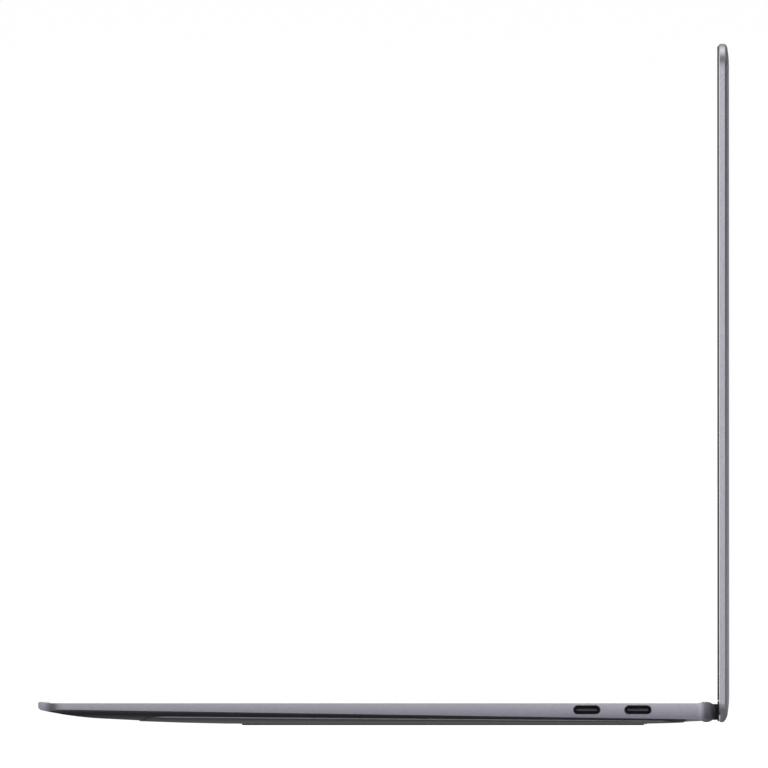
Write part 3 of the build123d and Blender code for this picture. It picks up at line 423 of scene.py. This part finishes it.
legends_along("function_row_keys", [f"F{n}" for n in range(1, 13)], WORD_SIZE)
legends_along("number_row_keys", "`1234567890-=", NUMBER_SIZE, shift=-NUMBER_SHIFT)
legends_along("number_row_keys", "~!@#$%^&*()_+", NUMBER_SIZE, shift=NUMBER_SHIFT)
legends_along("upper_letter_keys", "QWERTYUIOP[]\\", LETTER_SIZE)
legends_along("home_letter_keys", "ASDFGHJKL;'", LETTER_SIZE)
legends_along("lower_letter_keys", "ZXCVBNM,./", LETTER_SIZE)
for node, word, side in (("key_escape", "esc", "LEFT"), ("key_backspace", "delete", "RIGHT"),
                         ("key_tab", "tab", "LEFT"), ("key_caps_lock", "caps lock", "LEFT"),
                         ("key_enter", "enter", "RIGHT"), ("key_left_shift", "shift", "LEFT"),
                         ("key_right_shift", "shift", "RIGHT"), ("key_left_control", "ctrl", "CENTER")):
    legend_alone(node, word, side)

# the modifier keys either side of the space bar, whose cmd caps are a quarter pitch wider
MODIFIER_LOW, MODIFIER_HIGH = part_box("modifier_keys")
for word, start, pitches in (("fn", MODIFIER_LOW.x, 0), ("alt", MODIFIER_LOW.x, 1),
                             ("cmd", MODIFIER_LOW.x, 2.125), ("alt", MODIFIER_HIGH.x, 0),
                             ("cmd", MODIFIER_HIGH.x, -1.125)):
    inward = CAP_WIDE / 2 if start < 0 else -CAP_WIDE / 2
    legend(word, "modifier_keys", start + inward + pitches * KEY_PITCH,
           (MODIFIER_LOW.y + MODIFIER_HIGH.y) / 2, WORD_SIZE)


def flat_shape(name, points, finish, body):
    """A thin printed or set-in face made straight from the points round it."""
    mesh = bpy.data.meshes.new(name)
    mesh.from_pydata(points, [], [tuple(range(len(points)))])
    mesh.materials.append(finish)
    piece = bpy.data.objects.new(name, mesh)
    SCENE.collection.objects.link(piece)
    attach(piece, body)


ARROW_REACH = 1.1 * MM
ARROW_TAIL = 0.7                  # how far the arrow's base lies behind its middle, of its reach
for node, way in (("key_arrow_left", (-1, 0)), ("key_arrow_right", (1, 0)),
                  ("key_arrow_up", (0, 1)), ("key_arrow_down", (0, -1))):
    low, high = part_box(node)
    centre = Vector(((low.x + high.x) / 2, (low.y + high.y) / 2, KEY_TOP + LEGEND_LIFT))
    ahead = Vector((*way, 0)) * ARROW_REACH
    aside = Vector((way[1], way[0], 0)) * ARROW_REACH
    base = centre - ahead * ARROW_TAIL
    flat_shape(f"legend_{node}", [centre + ahead, base + aside, base - aside], LEGEND, node)


# ---------------------------------------------------------------- camera in the screen's border
def disc(name, x, lift, radius, finish, sides=40):
    """A flat disc on the glass at the camera's height, facing the user."""
    rim = []
    for side in range(sides):
        turn = 2 * pi * side / sides
        rim.append((x + radius * cos(turn), GLASS_FRONT - lift, CAMERA_HEIGHT + radius * sin(turn)))
    flat_shape(name, rim, finish, "lid")


CAMERA_LOW, CAMERA_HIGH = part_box("camera_module")
CAMERA_HEIGHT = (CAMERA_LOW.z + CAMERA_HIGH.z) / 2
DISC_LIFT = 0.005 * MM
disc("camera_ring", 0, DISC_LIFT, 2.0 * MM, INK_RING)
disc("camera_lens", 0, 2 * DISC_LIFT, 1.1 * MM, lens_glass())
disc("camera_light", -12 * MM, DISC_LIFT, 0.5 * MM, INK_RING)

# ---------------------------------------------------------------- the room's light
world = bpy.data.worlds.new("studio")
world.use_nodes = True
sky = world.node_tree
direction = sky.nodes.new("ShaderNodeSeparateXYZ")
sky.links.new(sky.nodes.new("ShaderNodeTexCoord").outputs["Generated"], direction.inputs["Vector"])


def levels_along(axis, stops):
    """Grey levels (position, level) over a direction's component; position 0 is -1 and 1 is +1."""
    halved = sky.nodes.new("ShaderNodeMapRange")
    halved.inputs["From Min"].default_value = -1
    sky.links.new(direction.outputs[axis], halved.inputs["Value"])
    node = sky.nodes.new("ShaderNodeValToRGB")
    elements = node.color_ramp.elements
    while len(elements) < len(stops):
        elements.new(0.5)
    for element, (position, level) in zip(elements, stops):
        element.position = position
        element.color = (level, level, level, 1)
    sky.links.new(halved.outputs["Result"], node.inputs["Fac"])
    return node.outputs["Color"]


def mixed(factor, first, second, blend="MIX"):
    """A colour mix node; each input is a socket or a grey level."""
    node = sky.nodes.new("ShaderNodeMix")
    node.data_type = "RGBA"
    node.blend_type = blend
    for name, value in (("Factor", factor), ("A", first), ("B", second)):
        if isinstance(value, float):
            node.inputs[name].default_value = value if name == "Factor" else (value, value, value, 1)
        else:
            sky.links.new(value, node.inputs[name])
    return node.outputs["Result"]


# a pale room, darker in strips beside the camera and behind the lid, and white at eye level
over_height = levels_along("Z", [(0.0, 0.80), (0.40, 0.85), (0.50, 1.0), (0.60, 0.95), (0.75, 0.70),
                                 (1.0, 0.95)])
over_width = levels_along("X", [(0.0, 1.0), (0.004, 1.0), (0.012, 0.35), (0.1, 0.5), (0.28, 1.0),
                                (0.45, 1.0), (0.6, 0.75), (0.73, 0.08), (0.92, 0.08), (0.975, 1.4),
                                (1.0, 1.4)])
behind_lid = levels_along("Y", [(0.0, 0.0), (0.57, 0.0), (0.68, 1.0), (1.0, 1.0)])
low_band = levels_along("Z", [(0.32, 0.0), (0.37, 1.0), (0.64, 1.0), (0.72, 0.0)])
off_eye_level = levels_along("Z", [(0.496, 1.0), (0.4985, 0.0), (0.515, 0.0), (0.525, 1.0)])
BEHIND_LEVEL = 0.02
room = mixed(1.0, over_height, over_width, "MULTIPLY")
room = mixed(mixed(1.0, behind_lid, low_band, "MULTIPLY"), room, BEHIND_LEVEL)
room = mixed(off_eye_level, 1.0, room)
sky.links.new(room, sky.nodes["Background"].inputs["Color"])
SCENE.world = world
SCENE.view_settings.view_transform = "Standard"


# ---------------------------------------------------------------- floor and lamps
def ground(name, x_reach, front, rear, drop, material):
    """A level rectangle a hair below the feet."""
    mesh = bpy.data.meshes.new(name)
    corners = [(-x_reach, front, 0), (x_reach, front, 0), (x_reach, rear, 0), (-x_reach, rear, 0)]
    mesh.from_pydata(corners, [], [(0, 1, 2, 3)])
    mesh.materials.append(material)
    sheet = bpy.data.objects.new(name, mesh)
    SCENE.collection.objects.link(sheet)
    sheet.location.z = -drop
    return sheet


FLOOR_REACH = 30.0
FLOOR_DROP = 0.02 * MM
WHITE_GLOW = (1, 1, 1, 1)
pale = Shader("pale_floor", (0.06, 0.06, 0.06), 0.9, Emission_Color=WHITE_GLOW, Emission_Strength=0.97)
floor = ground("floor", FLOOR_REACH, -FLOOR_REACH, FLOOR_REACH, FLOOR_DROP, pale.material)
floor.visible_diffuse = False
floor.visible_glossy = False


def painted_shade_sheet(name, x_reach, front, rear, axis, glow, at):
    """A glowing sheet that the camera doesn't see, with painted shade in its glow standing in for an
    unevenly lit desk: it only lights and mirrors in the object.

    Its glow goes from the first value of glow to the second over the two distances of at, which
    are measured along the axis, to either side.
    """
    shader = Shader(name, (0.04, 0.04, 0.045), 0.9, Emission_Color=WHITE_GLOW)
    # painted shade: the glow strength is varied over the sheet, standing in for shade on a desk
    strength = shader.between(shader.maths("ABSOLUTE", shader.along(axis)), *glow, at=at)
    shader.link(strength, shader.surface.inputs["Emission Strength"])
    glow_sheet = ground(name, x_reach, front, rear, FLOOR_DROP / 2, shader.material)
    glow_sheet.visible_camera = False
    glow_sheet.visible_shadow = False


# painted shadow: under the base the sheet glows dimly and goes dark near its sides, standing in for the
# shadow under the laptop, which the undercut mirrors
painted_shade_sheet("painted_shadow_under_base", 153 * MM, -111 * MM, 99 * MM, "X", (0.24, 0.0), (145.5 * MM, 149 * MM))
# painted shade: behind the lid the sheet glows brighter with distance, standing in for a desk shaded
# near the lid, which grades the lid's back
painted_shade_sheet("painted_shade_behind_lid", 900 * MM, 110 * MM, 750 * MM, "Y", (0.25, 1.2), (150 * MM, 650 * MM))


def softbox(name, place, target, size, power):
    """A square studio light aimed at a point."""
    light = bpy.data.lights.new(name, "AREA")
    light.size = size
    light.energy = power
    lamp = bpy.data.objects.new(name, light)
    SCENE.collection.objects.link(lamp)
    lamp.location = place
    lamp.rotation_mode = "QUATERNION"
    lamp.rotation_quaternion = (Vector(target) - Vector(place)).to_track_quat("-Z", "Y")


softbox("overhead", (0.2, -0.3, 1.6), (0, 0, 0.05), size=1.4, power=10)
softbox("ports_side", (1.2, 0.44, 0.24), (0.155, 0.1, 0.08), size=0.4, power=2.0)

# ---------------------------------------------------------------- camera
LENS = 800.0
SENSOR = 36.0
FRAME_WIDTH = 250.72 * MM         # what the picture spans at the near side of the laptop
AIM = Vector((CAD_BOX[1].x, 0.30 * MM, 111.42 * MM))
camera_data = bpy.data.cameras.new("camera")
camera_data.lens = LENS
camera_data.sensor_width = SENSOR
camera_data.clip_start = 0.1
camera_data.clip_end = 60
camera = bpy.data.objects.new("camera", camera_data)
SCENE.collection.objects.link(camera)
# level with the deck and in line with the screen, so that both are seen edge-on
camera.location = (AIM.x + FRAME_WIDTH * LENS / SENSOR, GLASS_FRONT - 0.2 * MM, DECK)
camera.rotation_mode = "QUATERNION"
camera.rotation_quaternion = (AIM - camera.location).to_track_quat("-Z", "Y")
SCENE.camera = camera
